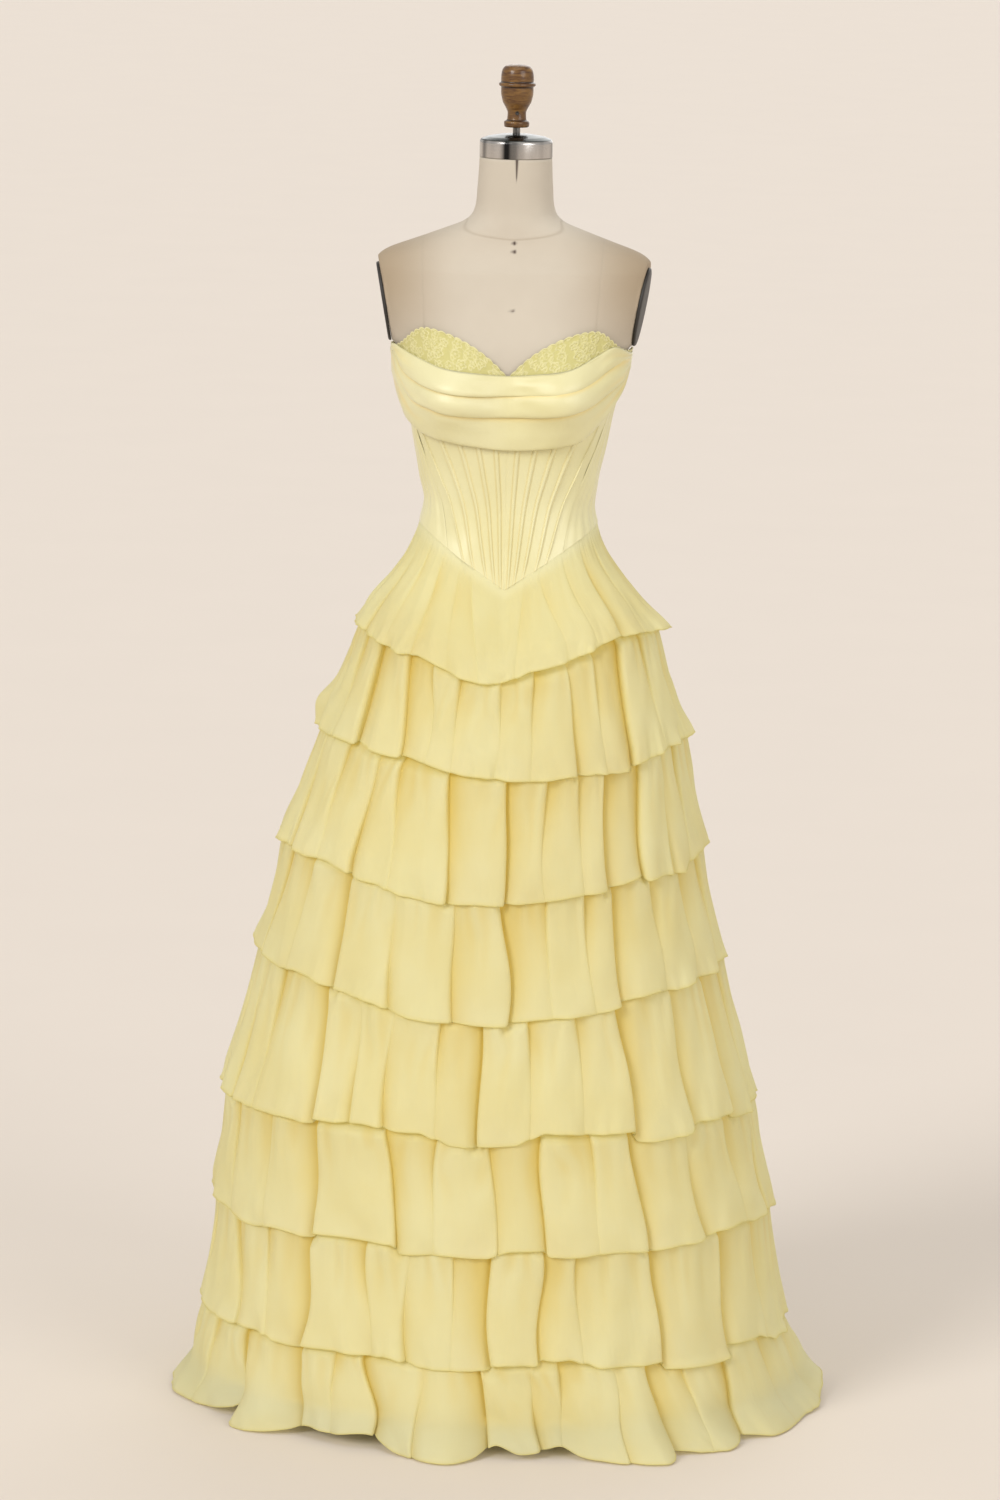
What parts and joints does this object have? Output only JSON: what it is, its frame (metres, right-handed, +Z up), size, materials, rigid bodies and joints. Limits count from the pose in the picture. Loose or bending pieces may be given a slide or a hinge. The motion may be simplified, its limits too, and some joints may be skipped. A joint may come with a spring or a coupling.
{
  "type": "evening gown on dress form",
  "caption": "Strapless evening gown with lace cups, a pleated bust band, a boned satin bodice and a tiered chiffon ruffle skirt, on a limbless dress form.",
  "frame": {"origin": "on the floor, under the middle of the form's pole", "axes": "+Z up, the gown's front faces -Y, and +X is on the right of someone looking at it"},
  "size_m": [0.8913, 0.7247, 1.8152],
  "materials": {
    "gown_satin": "soft satin sheen, pale yellow",
    "gown_lace": "matt corded lace over satin, pale lemon",
    "gown_chiffon": "matt sheer chiffon in gathered layers, pale yellow",
    "gown_foundation": "matt lining cloth, pale yellow",
    "zip_tape": "woven tape with a concealed chain, pale yellow",
    "zip_metal": "enamelled to match the cloth",
    "form_linen": "plain woven linen, natural beige",
    "form_plates": "satin dark grey",
    "form_steel": "brushed",
    "finial_wood": "varnished, mid brown",
    "stand_paint": "satin dark grey",
    "stand_steel": "brushed"
  },
  "bodies": {
    "gown_and_form": {"bodice_front": "gown_satin", "bodice_side_left": "gown_satin", "bodice_side_right": "gown_satin", "bodice_back_left": "gown_satin", "bodice_back_right": "gown_satin", "bust_drape": "gown_satin", "cup_left": "gown_lace", "cup_right": "gown_lace", "tier_1": "gown_chiffon", "tier_2": "gown_chiffon", "tier_3": "gown_chiffon", "tier_4": "gown_chiffon", "tier_5": "gown_chiffon", "tier_6": "gown_chiffon", "tier_7": "gown_chiffon", "tier_8": "gown_chiffon", "foundation_skirt": "gown_foundation", "zip_tape": "zip_tape", "zip_slider": "zip_metal", "form_torso": "form_linen", "arm_plate_left": "form_plates", "arm_plate_right": "form_plates", "neck_cap": "form_steel", "finial_stem": "form_steel", "finial": "finial_wood", "stand_base": "stand_paint", "stand_collar": "stand_paint", "stand_pole": "stand_steel"},
    "zip_pull": {"zip_pull": "zip_metal"}
  },
  "joints": [
    {"name": "zip_pull_swing", "type": "hinge", "parent": "gown_and_form", "child": "zip_pull", "pos_m": [0, 0.1029, 1.37057], "axis": [1, 0, 0], "range_deg": [-5, 130]}
  ]
}
